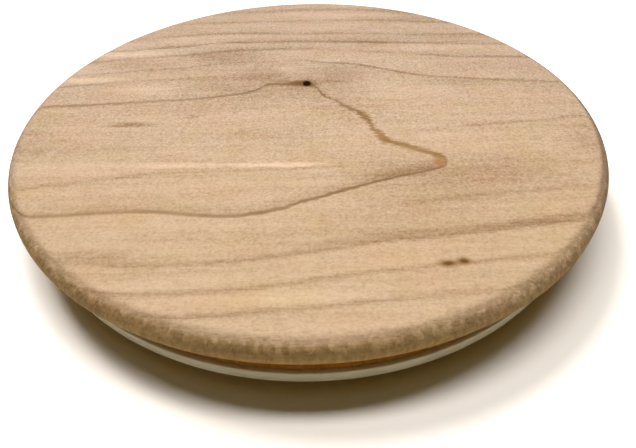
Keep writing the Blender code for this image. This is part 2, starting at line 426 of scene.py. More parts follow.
# Soft clouds of tone: centre, half sizes, and strength, where a negative strength is paler
CLOUDS = (
    (-43.0, 10.4, 9.0, 1.4, -0.50),
    (-37.0, 21.2, 13.0, 1.7, -0.40),
    (26.0, 22.6, 16.0, 1.8, -0.22),
    (-26.0, 28.0, 10.0, 1.6, -0.22),
    (-4.3, 13.9, 3.4, 1.2, -0.42),
    (-4.0, -17.4, 9.0, 0.75, -0.88),
    (-19.0, -17.2, 11.0, 0.8, -0.70),
    (-36.0, -17.5, 12.0, 1.8, -0.20),
    (-30.0, 6.5, 7.0, 2.6, -0.36),
    (18.0, 4.5, 9.0, 3.5, -0.12),
    (24.0, -13.0, 12.0, 5.0, -0.10),
    (-2.0, -43.0, 14.0, 1.5, -0.26),
    (3.0, 40.5, 14.0, 4.5, -0.22),
    (5.0, 33.5, 9.0, 1.6, -0.16),
    (-30.5, -5.6, 4.6, 0.95, 0.80),
    (-20.6, -3.2, 2.6, 1.0, 0.50),
    (-4.6, 8.3, 4.2, 1.4, 0.38),
    (-9.0, 12.2, 5.5, 4.0, 0.24),
    (5.0, 8.5, 4.6, 0.9, 0.42),
    (6.0, 11.8, 6.5, 4.0, 0.30),
    (-17.0, 19.6, 10.0, 4.5, 0.46),
    (-34.0, 16.6, 11.0, 2.2, 0.24),
    (0.0, 25.0, 20.0, 2.4, 0.12),
    (11.0, 27.8, 10.0, 2.4, 0.12),
    (30.0, 7.4, 9.0, 1.8, 0.24),
    (32.0, 27.0, 14.0, 3.5, 0.14),
    (33.0, 14.0, 12.0, 3.0, 0.14),
    (-9.0, 7.5, 20.0, 9.0, 0.36),
    (4.0, 5.0, 9.0, 6.0, 0.10),
    (24.0, -20.0, 20.0, 6.5, 0.34),
    (-4.0, -10.0, 8.0, 5.0, 0.10),
    (6.0, -2.0, 7.0, 4.5, 0.16),
    (-34.0, -12.0, 14.0, 2.2, 0.14),
    (-22.0, -1.0, 22.0, 1.8, 0.12),
    (12.0, -18.6, 9.0, 2.0, 0.22),
    (16.0, -26.0, 14.0, 4.5, 0.16),
    (-28.0, -35.8, 7.0, 1.6, 0.32),
    (-12.0, -33.0, 16.0, 2.5, 0.16),
    (8.0, -31.0, 12.0, 2.0, 0.16),
    (26.0, 40.0, 9.0, 5.0, 0.26),
    (-40.0, 23.0, 9.0, 5.0, -0.30),
    (-45.0, 14.0, 7.0, 5.0, -0.22),
    (-46.0, -10.0, 5.0, 8.0, 0.20),
    (45.0, 10.0, 7.0, 12.0, 0.12),
    (45.5, -12.0, 6.0, 7.0, 0.24),
)

# Small ochre gum flecks on the second front line: centre, half sizes
FLECKS = ((17.4, -37.95, 0.90, 0.44), (19.5, -37.6, 0.66, 0.46))

MAPLE_FRONT = rgb(194, 166, 135)
MAPLE_BACK = rgb(193, 168, 146)
GROWTH_FRONT = (0.50, 0.39, 0.26, 1.0)
GROWTH_BACK = (0.50, 0.415, 0.33, 1.0)
ZONE_TINT = (0.40, 0.295, 0.18, 1.0)
OCHRE_TINT = (0.44, 0.30, 0.06, 1.0)
HALO_TINT = (0.32, 0.19, 0.06, 1.0)
KNOT_CORE = (0.018, 0.006, 0.002, 1.0)
KNOT_HALO = (0.16, 0.085, 0.03, 1.0)
TIP_TINT = (0.66, 0.46, 0.22, 1.0)
FLECK_CORE = (0.13, 0.055, 0.007, 1.0)
PINK_TINT = (1.0, 0.945, 0.93, 1.0)
OLIVE_TINT = (0.965, 0.975, 0.885, 1.0)
PALE_FIBRE_TINT = (1.42, 1.46, 1.52, 1.0)
# Tints of the rim and neck: besides the grain's own colours, some paint shade on the rim, its shoulder and
# the neck, a sheen at the left end and warm bounce light on the lower half
RIM_GRAIN_AND_SHADE_TINT = (0.80, 0.765, 0.71, 1.0)
RAY_TINT = (0.70, 0.64, 0.56, 1.0)
RIM_SHOULDER_SHADE_TINT = (0.72, 0.67, 0.49, 1.0)
RIM_FLECK_TINT = (1.40, 1.43, 1.62, 1.0)
RIM_LEFT_SHEEN_TINT = (1.16, 1.22, 1.42, 1.0)
RIM_RIGHT_TINT = (0.72, 0.73, 0.78, 1.0)
RIM_LOWER_BOUNCE_TINT = (1.12, 1.08, 0.84, 1.0)
NECK_SHADE_TINT = (0.66, 0.435, 0.18, 1.0)
BASE_COLOR = rgb(201, 170, 131)
BASE_PALE_TINT = (1.3, 1.32, 1.36, 1.0)

# The silicone's two whites and its scuffs, and the steel's bright and dull tones
SILICONE_WHITE = rgb(247, 243, 238)
SILICONE_CLOUD = rgb(238, 233, 226)
SILICONE_SCUFF = rgb(205, 200, 188)
STEEL_BRIGHT = rgb(205, 203, 198)
STEEL_DULL = rgb(160, 156, 148)


def on_span(value):
    """Maps a millimetre value from -CURVE_SPAN..CURVE_SPAN to 0..1."""
    return (value + CURVE_SPAN) / (2 * CURVE_SPAN)


def board_curve(graph, x01, points):
    """Height y, in millimetres, of a grain line at the wood's x."""
    y01 = graph.curve(x01, [(on_span(x), on_span(y)) for x, y in points])
    return graph.math("MULTIPLY_ADD", y01, 2 * CURVE_SPAN, -CURVE_SPAN)


def wood_space(graph, face_z):
    """Wood coordinates in millimetres. Below the top face, the growth rings bend round the pith."""
    place = graph.place_mm()
    x, y, z = graph.split(place)
    depth = graph.math("MAXIMUM", graph.math("SUBTRACT", face_z, z), 0.0)
    across = graph.math("SUBTRACT", y, PITH_Y)
    squared = graph.math("MULTIPLY", across, across)
    sink = graph.math("MULTIPLY", depth, graph.math("ADD", depth, 2 * PITH_HEIGHT))
    ring = graph.math("SQRT", graph.math("ADD", squared, sink))
    softening = graph.math("MULTIPLY_ADD", depth, PITH_SOFTNESS, NEVER_ZERO)
    soft = graph.math("SQRT", graph.math("ADD", squared, softening))
    side = graph.math("DIVIDE", across, soft)
    bent_y = graph.math("MULTIPLY_ADD", side, ring, PITH_Y)
    bent_x = graph.math("MULTIPLY_ADD", depth, GRAIN_DRIFT, x)
    return place, (x, y, z), bent_x, bent_y, depth


def stretch(graph, vector, x, y, z):
    """Scales a vector so that one unit spans x, y and z millimetres along each axis."""
    return graph.vector("MULTIPLY", vector, (1 / x, 1 / y, 1 / z))


def centered(graph, value, gain):
    """A noise value moved to swing about zero."""
    return graph.math("MULTIPLY", graph.math("SUBTRACT", value, 0.5), gain)


def add_lines(graph, x01, y, lines):
    """Sum of the growth lines' darkness."""
    total = 0.0
    for points, width, (side, shade_width, shade_gain) in lines:
        offset = graph.math("SUBTRACT", y, board_curve(graph, x01, [(px, py) for px, py, strength in points]))
        strength = graph.curve(x01, [(on_span(px), strength) for px, py, strength in points])
        core = graph.ramp(graph.math("ABSOLUTE", offset), 0.0, width, 1.0, 0.0)
        beside = graph.math("MULTIPLY", offset, float(side))
        fall = graph.ramp(beside, 0.0, shade_width, shade_gain, 0.0)
        rise = graph.ramp(beside, -0.4, 0.1)
        mark = graph.math("MULTIPLY_ADD", fall, rise, core)
        total = graph.math("MULTIPLY_ADD", mark, strength, total)
    return total


def ellipse(graph, x, y, center_x, center_y, half_x, half_y):
    """Distance from a centre, where 1 is the edge of the ellipse."""
    across_x = graph.math("DIVIDE", graph.math("SUBTRACT", x, center_x), half_x)
    across_y = graph.math("DIVIDE", graph.math("SUBTRACT", y, center_y), half_y)
    return graph.vector("LENGTH", graph.join(across_x, across_y, 0.0))


def add_clouds(graph, x, y, clouds):
    """Sum of the soft clouds' tone."""
    total = 0.0
    for *oval, strength in clouds:
        patch = graph.ramp(ellipse(graph, x, y, *oval), 0.15, 1.25, strength, 0.0)
        total = graph.math("ADD", total, patch)
    return total


def zone_line(graph, x, y, ragged):
    """The zone line's darkness, the soft shade beside it, and how ochre it is."""
    ragged_x = graph.math("ADD", x, ragged)
    x01 = graph.line(ragged_x, -CURVE_SPAN, CURVE_SPAN)
    ragged_y = graph.math("MULTIPLY_ADD", ragged, 0.4, y)
    upper = graph.math("SUBTRACT", ragged_y, board_curve(graph, x01, ZONE_UPPER))
    lower = graph.math("SUBTRACT", y, board_curve(graph, x01, ZONE_LOWER))
    reach01 = graph.curve(x01, [(on_span(at), half / TALLEST_REACH) for at, half in ZONE_REACH])
    upper_reach = graph.math("MULTIPLY", reach01, TALLEST_REACH)
    upper_share = graph.math("DIVIDE", graph.math("ABSOLUTE", upper), upper_reach)
    upper_line = graph.ramp(upper_share, 0.2, 1.0, 1.0, 0.0)
    lower_reach = graph.ramp(x, 2.0, 16.0, 1.0, 0.55)
    lower_share = graph.math("DIVIDE", graph.math("ABSOLUTE", lower), lower_reach)
    lower_line = graph.ramp(lower_share, 0.1, 0.62, 1.0, 0.0)
    ended = graph.ramp(x, 21.0, 21.8, 1.0, 0.0)
    ended = graph.math("MULTIPLY", ended, graph.ramp(x, -25.0, 4.0, 0.62, 1.0))
    line = graph.math("MULTIPLY", graph.math("MAXIMUM", upper_line, lower_line), ended)
    inside = graph.ramp(upper, 0.0, 0.5, 1.0, 0.0)
    lower_shade = graph.math("MULTIPLY", graph.ramp(lower, 0.0, 3.0, 0.42, 0.0), graph.ramp(lower, -0.6, 0.1))
    upper_shade = graph.ramp(graph.math("ABSOLUTE", upper), 0.0, 1.6, 0.22, 0.0)
    upper_shade = graph.math("MULTIPLY", upper_shade, graph.ramp(x, -4.0, 4.0, 1.0, 0.25))
    beside = graph.math("ADD", graph.math("MULTIPLY", lower_shade, inside), upper_shade)
    shade = graph.math("MULTIPLY", beside, ended)
    ochre = graph.math("MULTIPLY", graph.ramp(x, 6.0, 13.0), graph.ramp(y, -18.6, -17.0))
    return line, shade, ochre


def tinted(graph, color, tint):
    return graph.mix(1.0, color, tint, "MULTIPLY")


def height_row(graph, z, low, full_low, full_high, high):
    """1 between two depths below the top face, in millimetres, fading out below and above them."""
    rise = graph.ramp(z, TOP_Z - low, TOP_Z - full_low)
    fall = graph.ramp(z, TOP_Z - full_high, TOP_Z - high, 1.0, 0.0)
    return graph.math("MULTIPLY", rise, fall)


def rim_color(g, color, place, where, normal, side_face, rays):
    """End grain, rays and painted shade on the rounded rim, a painted sheen at its left end, painted warm
    bounce light on its lower half, and painted shade that makes the neck darker and deeper in colour.
    """
    x, y, z = where
    rim = g.ramp(side_face, 0.004, 0.10)
    # The rim is darker, most at the end grain: partly the end grain's own colour, partly painted shade on the
    # rounded rim
    endness = g.math("ABSOLUTE", normal[0])
    end_share = g.math("MULTIPLY_ADD", g.math("MULTIPLY", endness, endness), 0.35, 0.65)
    color = g.mix(g.math("MULTIPLY", rim, end_share), color, tinted(g, color, RIM_GRAIN_AND_SHADE_TINT))

    # Rays and blotches are short dark lines across the edge
    blotches = g.noise(stretch(g, place, 1.5, 1.3, 4.0), detail=3.0, roughness=0.62)
    ray_gain = g.math("MULTIPLY_ADD", endness, 0.8, 0.2)
    blotch_mark = g.ramp(blotches, 0.40, 0.62, 0.0, 0.38)
    ray_mark = g.math("MULTIPLY_ADD", g.ramp(rays, 0.42, 0.62), ray_gain, blotch_mark)
    color = g.mix(g.math("MULTIPLY", ray_mark, rim), color, tinted(g, color, RAY_TINT))

    # Painted shade: the shoulder is darker in front; beside it runs a row of pale flecks
    shoulder = g.math("MULTIPLY", height_row(g, z, 2.0, 1.2, 0.8, 0.3), g.ramp(x, 4.0, 30.0, 1.0, 0.4))
    color = g.mix(shoulder, color, tinted(g, color, RIM_SHOULDER_SHADE_TINT))
    flecks = g.noise(stretch(g, place, 1.3, 1.5, 3.0), detail=2.0, roughness=0.6)
    fleck_row = g.math("MULTIPLY", height_row(g, z, 1.7, 1.1, 0.6, 0.25), rim)
    fleck_mark = g.math("MULTIPLY", g.ramp(flecks, 0.48, 0.58, 0.0, 0.9), fleck_row)
    color = g.mix(fleck_mark, color, tinted(g, color, RIM_FLECK_TINT))

    # Painted sheen: the left end is greyer and paler, as if a grazing sheen of light fell on it; the right
    # front end is darker
    left_sheen = g.math("MULTIPLY", rim, g.ramp(x, -47.0, -36.0, 1.0, 0.0))
    color = g.mix(left_sheen, color, tinted(g, color, RIM_LEFT_SHEEN_TINT))
    right_end = g.math("MULTIPLY", rim, g.ramp(x, 36.0, 46.0))
    right_end = g.math("MULTIPLY", right_end, g.ramp(y, -4.0, 8.0, 1.0, 0.0))
    color = g.mix(right_end, color, tinted(g, color, RIM_RIGHT_TINT))
    # Painted warm bounce light: the lower half of the rim is yellower
    lower_bounce_light = g.ramp(z, TOP_Z - 1.9, TOP_Z - 1.1, 1.0, 0.0)
    color = g.mix(lower_bounce_light, color, tinted(g, color, RIM_LOWER_BOUNCE_TINT))

    # Painted shade: the neck below the flange is darker and more amber, as in the shaded recess
    neck = g.ramp(z, FLANGE_Z - 1.0, FLANGE_Z + 0.3, 1.0, 0.0)
    return g.mix(neck, color, tinted(g, color, NECK_SHADE_TINT))


def maple_top():
    """Bare sanded flat-sawn maple of the lid disc."""
    g = MaterialGraph("maple_flat_sawn")
    place, (x, y, z), bent_x, bent_y, depth = wood_space(g, TOP_Z)
    normal = g.split(g.add("ShaderNodeNewGeometry").outputs["Normal"])
    side_face = g.math("SUBTRACT", 1.0, g.math("ABSOLUTE", normal[2]))

    # Slow and quick waviness of the grain
    slow = g.noise(stretch(g, place, 26, 9, 9), detail=2.0)
    quick = g.noise(stretch(g, place, 2.6, 1.1, 1.4), detail=3.0, roughness=0.6)
    wavy_y = g.math("ADD", bent_y, centered(g, slow, 0.8))
    wavy_y = g.math("ADD", wavy_y, centered(g, quick, 0.7))
    x01 = g.line(bent_x, -CURVE_SPAN, CURVE_SPAN)

    # Ground colour: yellower in front, pinker and greyer at the back, with slow drifts of hue
    backness = g.ramp(y, -46.0, 30.0)
    ground = g.mix(backness, MAPLE_FRONT, MAPLE_BACK)
    pink = g.noise(stretch(g, place, 9, 5, 5), detail=3.0, roughness=0.6)
    ground = g.mix(g.ramp(pink, 0.40, 0.68, 0.0, 1.0), ground, tinted(g, ground, PINK_TINT))
    olive = g.noise(g.vector("ADD", stretch(g, place, 8, 5, 5), (7.3, 2.1, 4.4)), detail=3.0, roughness=0.6)
    ground = g.mix(g.ramp(olive, 0.45, 0.70, 0.0, 1.0), ground, tinted(g, ground, OLIVE_TINT))

    # Fibre streaks, shimmer across the grain, rays and pores
    ring_place = g.join(bent_x, wavy_y, g.math("MULTIPLY", depth, 0.4))
    streaks = g.noise(stretch(g, ring_place, 34, 1.5, 6), detail=4.0, roughness=0.62)
    fine_streaks = g.noise(stretch(g, ring_place, 9, 0.36, 3), detail=3.0, roughness=0.62)
    shimmer = g.noise(stretch(g, place, 1.5, 7, 7), detail=3.0, roughness=0.55)
    sand = g.noise(stretch(g, place, 0.42, 0.36, 0.42), detail=2.0, roughness=0.7)
    grains = g.noise(stretch(g, place, 0.85, 0.55, 0.6), detail=2.0, roughness=0.6)
    pores = g.noise(stretch(g, place, 3.0, 0.15, 0.15), detail=1.0)
    rays = g.noise(stretch(g, place, 0.7, 0.22, 4.0), detail=2.0, roughness=0.55)

    tone = g.math("ADD", centered(g, streaks, 0.86), centered(g, fine_streaks, 0.30))
    tone = g.math("ADD", tone, centered(g, shimmer, 0.22))
    tone = g.math("ADD", tone, centered(g, grains, 0.62))
    tone = g.math("MULTIPLY_ADD", centered(g, sand, 1.0), g.ramp(y, -44.0, 8.0, 1.1, 2.5), tone)
    tone = g.math("ADD", tone, g.ramp(pores, 0.58, 0.74, 0.0, 0.12))
    tone = g.math("ADD", tone, g.ramp(rays, 0.52, 0.72, 0.0, 0.18))

    # Growth lines and clouds, broken up by the fibre
    broken = g.line(fine_streaks, 0.25, 0.75, 0.72, 1.28)
    worn = g.ramp(side_face, 0.01, 0.2, 1.0, 0.1)
    growth = g.math("MULTIPLY", add_lines(g, x01, wavy_y, GROWTH_LINES), g.math("MULTIPLY", broken, worn))
    cloud_y = g.math("ADD", bent_y, centered(g, quick, 1.6))
    cloud_x = g.math("ADD", bent_x, centered(g, fine_streaks, 7.0))
    clouds = add_clouds(g, cloud_x, cloud_y, CLOUDS)

    # Zone line, with a ragged edge where it crosses the fibres
    hairs = g.noise(stretch(g, place, 2.0, 0.28, 0.36), detail=2.0, roughness=0.65)
    steps = g.noise(stretch(g, place, 2.2, 1.7, 2.0), detail=2.0, roughness=0.5)
    ragged = g.math("ADD", g.math("MULTIPLY", centered(g, hairs, 2.2), g.ramp(x, 2.0, 9.0, 0.6, 1.0)),
                    g.math("MULTIPLY", centered(g, steps, 2.6), g.ramp(x, 7.0, 10.0, 1.0, 0.5)))
    zone, zone_shade, ochre = zone_line(g, bent_x, bent_y, ragged)

    darkness = g.math("ADD", g.math("ADD", tone, growth), g.math("ADD", clouds, zone_shade))
    growth_tint = g.mix(backness, GROWTH_FRONT, GROWTH_BACK)
    color = g.mix(g.math("MAXIMUM", darkness, 0.0), ground, tinted(g, ground, growth_tint))
    paler = g.math("MULTIPLY", g.math("MINIMUM", darkness, 0.0), -1.0)
    color = g.mix(paler, color, tinted(g, ground, PALE_FIBRE_TINT))

    # The tongue's orange tip lies under the line
    tip_r = g.math("ADD", ellipse(g, x, y, *TONGUE_TIP), centered(g, quick, 0.8))
    color = g.mix(g.ramp(tip_r, 0.2, 1.4, 0.9, 0.0), color, tinted(g, ground, TIP_TINT))

    patchy = g.line(g.noise(stretch(g, place, 3.5, 3.5, 3.5), detail=2.0), 0.3, 0.7, 0.70, 1.0)
    zone = g.math("MULTIPLY", zone, g.math("MULTIPLY", patchy, g.line(sand, 0.3, 0.7, 1.1, 0.8)))
    color = g.mix(zone, color, g.mix(ochre, tinted(g, ground, ZONE_TINT), tinted(g, ground, OCHRE_TINT)))

    # The pin knot with its brown halo, and the gum flecks
    halo_r = g.math("ADD", ellipse(g, x, y, *HALO), centered(g, quick, 0.7))
    color = g.mix(g.ramp(halo_r, 0.15, 1.1, 1.0, 0.0), color, tinted(g, ground, HALO_TINT))
    knot_r = g.math("ADD", ellipse(g, x, y, *KNOT), centered(g, quick, 0.45))
    color = g.mix(g.ramp(knot_r, 0.75, 1.25, 1.0, 0.0), color, KNOT_HALO)
    color = g.mix(g.ramp(knot_r, 0.55, 0.95, 1.0, 0.0), color, KNOT_CORE)

    for fleck in FLECKS:
        fleck_r = g.math("ADD", ellipse(g, bent_x, bent_y, *fleck), centered(g, quick, 0.8))
        color = g.mix(g.ramp(fleck_r, 0.7, 2.3, 0.7, 0.0), color, tinted(g, ground, OCHRE_TINT))
        color = g.mix(g.ramp(fleck_r, 0.3, 1.2, 1.0, 0.0), color, FLECK_CORE)

    color = rim_color(g, color, place, (x, y, z), normal, side_face, rays)
    g.feed(g.shader.inputs["Base Color"], color)
    roughness = g.math("ADD", 0.60, centered(g, fine_streaks, 0.16))
    roughness = g.math("ADD", roughness, centered(g, sand, 0.10))
    g.feed(g.shader.inputs["Roughness"], roughness)
    gloss = g.math("MULTIPLY", g.ramp(knot_r, 0.7, 1.2, 0.0, 0.28), g.ramp(z, FLANGE_Z, FLANGE_Z + 0.5))
    g.feed(g.shader.inputs["Specular IOR Level"], gloss)

    relief = g.math("MULTIPLY_ADD", pores, -0.4, g.math("MULTIPLY", fine_streaks, 0.6))
    relief = g.math("MULTIPLY_ADD", sand, 1.0, relief)
    relief = g.math("MULTIPLY_ADD", growth, -0.3, relief)
    relief = g.math("ADD", relief, g.ramp(knot_r, 0.4, 1.0, -1.0, 0.0))
    g.feed(g.shader.inputs["Normal"], g.bump(relief, 0.45, 0.00007))
    return g.material


def maple_base():
    """Maple of the base disc, with straight grain across the lid's own grain and turning marks."""
    g = MaterialGraph("maple_straight_grain")
    place = g.place_mm()
    x, y, z = g.split(place)
    warp = g.noise(stretch(g, place, 12, 40, 12), detail=2.0)
    across = g.math("ADD", x, centered(g, warp, 7.0))
    rings = g.math("FRACT", g.math("MULTIPLY", g.math("ADD", across, g.math("MULTIPLY", z, 1.5)), 0.16))
    late = g.ramp(rings, 0.62, 0.96, 0.0, 0.30)
    late = g.math("MULTIPLY", late, g.ramp(rings, 0.97, 1.0, 1.0, 0.0))
    streaks = g.noise(stretch(g, place, 1.2, 34, 3), detail=4.0, roughness=0.6)
    rays = g.noise(stretch(g, place, 0.18, 0.7, 2.6), detail=2.0, roughness=0.55)
    sand = g.noise(stretch(g, place, 0.22, 0.3, 0.3), detail=2.0)
    tone = g.math("ADD", late, centered(g, streaks, 0.42))
    tone = g.math("ADD", tone, g.ramp(rays, 0.52, 0.72, 0.0, 0.16))
    tone = g.math("ADD", tone, centered(g, sand, 0.16))
    dark = tuple(a * b for a, b in zip(BASE_COLOR, GROWTH_FRONT))
    color = g.mix(g.math("MAXIMUM", tone, 0.0), BASE_COLOR, dark)
    pale = tuple(a * b for a, b in zip(BASE_COLOR, BASE_PALE_TINT))
    color = g.mix(g.math("MULTIPLY", g.math("MINIMUM", tone, 0.0), -1.0), color, pale)
    g.feed(g.shader.inputs["Base Color"], color)
    radius = g.vector("LENGTH", g.join(x, y, 0.0))
    marks = g.math("SINE", g.math("MULTIPLY", radius, 22.0))
    relief = g.math("ADD", g.math("MULTIPLY", marks, 0.12), g.math("MULTIPLY", streaks, 0.5))
    g.feed(g.shader.inputs["Roughness"], g.math("ADD", 0.6, centered(g, streaks, 0.15)))
    g.feed(g.shader.inputs["Specular IOR Level"], 0.32)
    g.feed(g.shader.inputs["Normal"], g.bump(relief, 0.3, 0.00006))
    return g.material


def white_silicone():
    """Moulded food-grade silicone: slightly translucent, with a fine matt skin and faint handling marks."""
    g = MaterialGraph("white_silicone")
    place = g.place_mm()
    cloud = g.noise(stretch(g, place, 6, 6, 2), detail=3.0)
    skin = g.noise(stretch(g, place, 0.16, 0.16, 0.16), detail=2.0)
    scuff = g.noise(stretch(g, place, 3.0, 3.0, 0.12), detail=3.0, roughness=0.6)
    color = g.mix(g.ramp(cloud, 0.35, 0.7), SILICONE_WHITE, SILICONE_CLOUD)
    color = g.mix(g.ramp(scuff, 0.62, 0.8, 0.0, 0.25), color, SILICONE_SCUFF)
    g.feed(g.shader.inputs["Base Color"], color)
    g.feed(g.shader.inputs["Roughness"], g.math("ADD", 0.42, centered(g, scuff, 0.2)))
    g.feed(g.shader.inputs["Subsurface Weight"], 0.2)
    g.shader.inputs["Subsurface Radius"].default_value = (1.0, 0.9, 0.8)
    g.feed(g.shader.inputs["Subsurface Scale"], 0.0008)
    g.feed(g.shader.inputs["Normal"], g.bump(skin, 0.15, 0.00003))
    return g.material


def stainless():
    """Cold-headed stainless steel with fine scratches and duller patches."""
    g = MaterialGraph("stainless_steel")
    place = g.place_mm()
    scratches = g.noise(stretch(g, place, 0.5, 0.05, 0.5), detail=2.0)
    grime = g.noise(stretch(g, place, 0.8, 0.8, 0.8), detail=3.0)
    color = g.mix(g.ramp(grime, 0.4, 0.75), STEEL_BRIGHT, STEEL_DULL)
    g.feed(g.shader.inputs["Base Color"], color)
    g.feed(g.shader.inputs["Metallic"], 1.0)
    g.feed(g.shader.inputs["Roughness"], g.ramp(scratches, 0.3, 0.7, 0.22, 0.42))
    g.feed(g.shader.inputs["Normal"], g.bump(scratches, 0.15, 0.00002))
    return g.material


# ---------------------------------------------------------------------------
# Pieces
# ---------------------------------------------------------------------------


def hand_sanded(r, z, angle):
    """Slow unevenness of the sanded edges: a few hundredths of a millimetre, none on the flat faces."""
    beside_top = r < LID_RADIUS - TOP_EDGE_ROUND + SANDING_TOP_MARGIN
    if beside_top or z < FLANGE_Z + SANDING_UNDER_MARGIN:
        return 0.0, 0.0
    around = Vector((math.cos(angle) * SANDING_WAVES, math.sin(angle) * SANDING_WAVES, z * SANDING_RISE))
    return noise.noise(around) * SANDING_SWAY - SANDING_LOSS, 0.0


def make_lid(material, places):
    flat_radius = LID_RADIUS - TOP_EDGE_ROUND
    outline = [(flat_radius * share, TOP_Z) for share in (0.0, 0.5, 0.9)]
    outline += arc(flat_radius, TOP_Z - TOP_EDGE_ROUND, TOP_EDGE_ROUND, 90, 0, 20)
    outline += arc(LID_RADIUS - UNDER_EDGE_ROUND, FLANGE_Z + UNDER_EDGE_ROUND, UNDER_EDGE_ROUND, 0, -90, 10)
    outline += arc(NECK_RADIUS + NECK_COVE, FLANGE_Z - NECK_COVE, NECK_COVE, 90, 180, 6)
    outline += [
        (NECK_RADIUS, NECK_BOTTOM_Z + NECK_CHAMFER),
        (NECK_RADIUS - NECK_CHAMFER, NECK_BOTTOM_Z),
        (0.0, NECK_BOTTOM_Z),
    ]
    hole = [
        (0.0, HOLE_TOP_Z),
        (HOLE_RADIUS, HOLE_TOP_Z - DRILL_TIP_HEIGHT),
        (HOLE_RADIUS, NECK_BOTTOM_Z - OVERRUN),
        (0.0, NECK_BOTTOM_Z - OVERRUN),
    ]
    mesh = drill(turned_mesh(outline, DISC_STEPS, wobble=hand_sanded), hole, places)
    lid = add_piece("turned_lid", mesh, material)
    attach(lid, "root")
    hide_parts("lid_disc")


def make_base(material, places):
    outline = [
        (0.0, BASE_TOP_Z),
        (SPIGOT_RADIUS - SPIGOT_CHAMFER, BASE_TOP_Z),
        (SPIGOT_RADIUS, BASE_TOP_Z - SPIGOT_CHAMFER),
        (SPIGOT_RADIUS, BASE_FLANGE_THICKNESS),
        (BASE_RADIUS - BASE_UPPER_CHAMFER, BASE_FLANGE_THICKNESS),
        (BASE_RADIUS, BASE_FLANGE_THICKNESS - BASE_UPPER_CHAMFER),
    ]
    outline += arc(BASE_RADIUS - BASE_LOWER_ROUND, BASE_LOWER_ROUND, BASE_LOWER_ROUND, 0, -90, 8)
    outline += [(0.0, 0.0)]
    cone_start = HEAD_RECESS + HEAD_EDGE
    hole = [
        (0.0, BASE_TOP_Z + OVERRUN),
        (HOLE_RADIUS, BASE_TOP_Z + OVERRUN),
        (HOLE_RADIUS, cone_start + COUNTERSINK_RADIUS - HOLE_RADIUS),
        (COUNTERSINK_RADIUS, cone_start),
        (COUNTERSINK_RADIUS, -OVERRUN),
        (0.0, -OVERRUN),
    ]
    base = add_piece("turned_base", drill(turned_mesh(outline, DISC_STEPS), hole, places), material)
    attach(base, "root")
    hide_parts("base_disc")


def make_seal(material):
    """The ring's section has rounded corners and a fine parting ridge round its outer face."""
    inner = SEAL_RADIUS - SEAL_WIDTH
    middle = (SEAL_TOP_Z + SEAL_BOTTOM_Z) / 2
    corner = SEAL_CORNER_ROUND
    face = SEAL_RADIUS - SEAM_HEIGHT
    outline = arc(face - corner, SEAL_TOP_Z - corner, corner, 90, 0, 6)
    outline += [
        (face, middle + SEAM_HALF_WIDTH),
        (SEAL_RADIUS, middle + SEAM_HALF_CREST),
        (SEAL_RADIUS, middle - SEAM_HALF_CREST),
        (face, middle - SEAM_HALF_WIDTH),
    ]
    outline += arc(face - corner, SEAL_BOTTOM_Z + corner, corner, 0, -90, 6)
    outline += arc(inner + corner, SEAL_BOTTOM_Z + corner, corner, -90, -180, 4)
    outline += arc(inner + corner, SEAL_TOP_Z - corner, corner, -180, -270, 4)
    seal = add_piece("moulded_seal", turned_mesh(outline, DISC_STEPS, closed=True), material, 60.0)
    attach(seal, "root")
    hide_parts("seal_ring")


def thread_radius(z, angle):
    """Radius of the screw at a height, with a helical thread that fades out at both ends."""
    core = SCREW_CORE_RADIUS
    crest = SCREW_RADIUS
    if z > SCREW_TIP_Z - TIP_TAPER:
        shrink = max(0.0, (SCREW_TIP_Z - z) / TIP_TAPER)
        core *= shrink
        crest *= shrink ** TIP_BULGE
    if z < HEAD_RECESS + THREAD_START:
        return core
    phase = (z / THREAD_PITCH - angle / math.tau) % 1.0
    ridge = max(0.0, 1.0 - abs(phase - 0.5) / RIDGE_HALF_WIDTH)
    return core + (crest - core) * min(1.0, ridge * CREST_SHARPNESS)


def screw_blank():
    """Closed mesh of one screw on the Z axis, head down."""
    bm = bmesh.new()
    angles = [math.tau * k / SCREW_STEPS for k in range(SCREW_STEPS)]
    neck_z = HEAD_RECESS + HEAD_EDGE + HEAD_RADIUS - SCREW_CORE_RADIUS
    last_z = SCREW_TIP_Z - TIP_FLAT
    rows = []
    for inset, depth in HEAD_PROFILE:
        rows.append([(HEAD_RADIUS - inset, HEAD_RECESS + depth)] * SCREW_STEPS)
    for i in range(THREAD_ROWS + 1):
        z = neck_z + i * (last_z - neck_z) / THREAD_ROWS
        rows.append([(thread_radius(z, angle), z) for angle in angles])
    grid = []
    for row in rows:
        ring = []
        for angle, (r, z) in zip(angles, row):
            r = max(r, THINNEST)
            ring.append(bm.verts.new((r * MM * math.cos(angle), r * MM * math.sin(angle), z * MM)))
        grid.append(ring)
    for lower, upper in zip(grid, grid[1:]):
        for k in range(SCREW_STEPS):
            n = (k + 1) % SCREW_STEPS
            bm.faces.new((lower[k], lower[n], upper[n], upper[k]))
    bm.faces.new(list(reversed(grid[0])))
    bm.faces.new(grid[-1])
    bmesh.ops.recalc_face_normals(bm, faces=bm.faces)
    return finished_mesh(bm, "screw")


def cross_bar(turn):
    """One bar of the driver recess: wide at the mouth, narrow at the bottom."""
    bm = bmesh.new()
    bmesh.ops.create_cube(bm, size=1.0)
    for v in bm.verts:
        length, width, height = CROSS_BOTTOM if v.co.z > 0 else CROSS_MOUTH
        v.co = Vector((v.co.x * length, v.co.y * width, height)) * MM
    bar = bpy.data.objects.new("cross_bar", finished_mesh(bm, "cross_bar"))
    bar.location = (0.0, 0.0, HEAD_RECESS * MM)
    bar.rotation_euler = (0.0, 0.0, turn)
    return bar


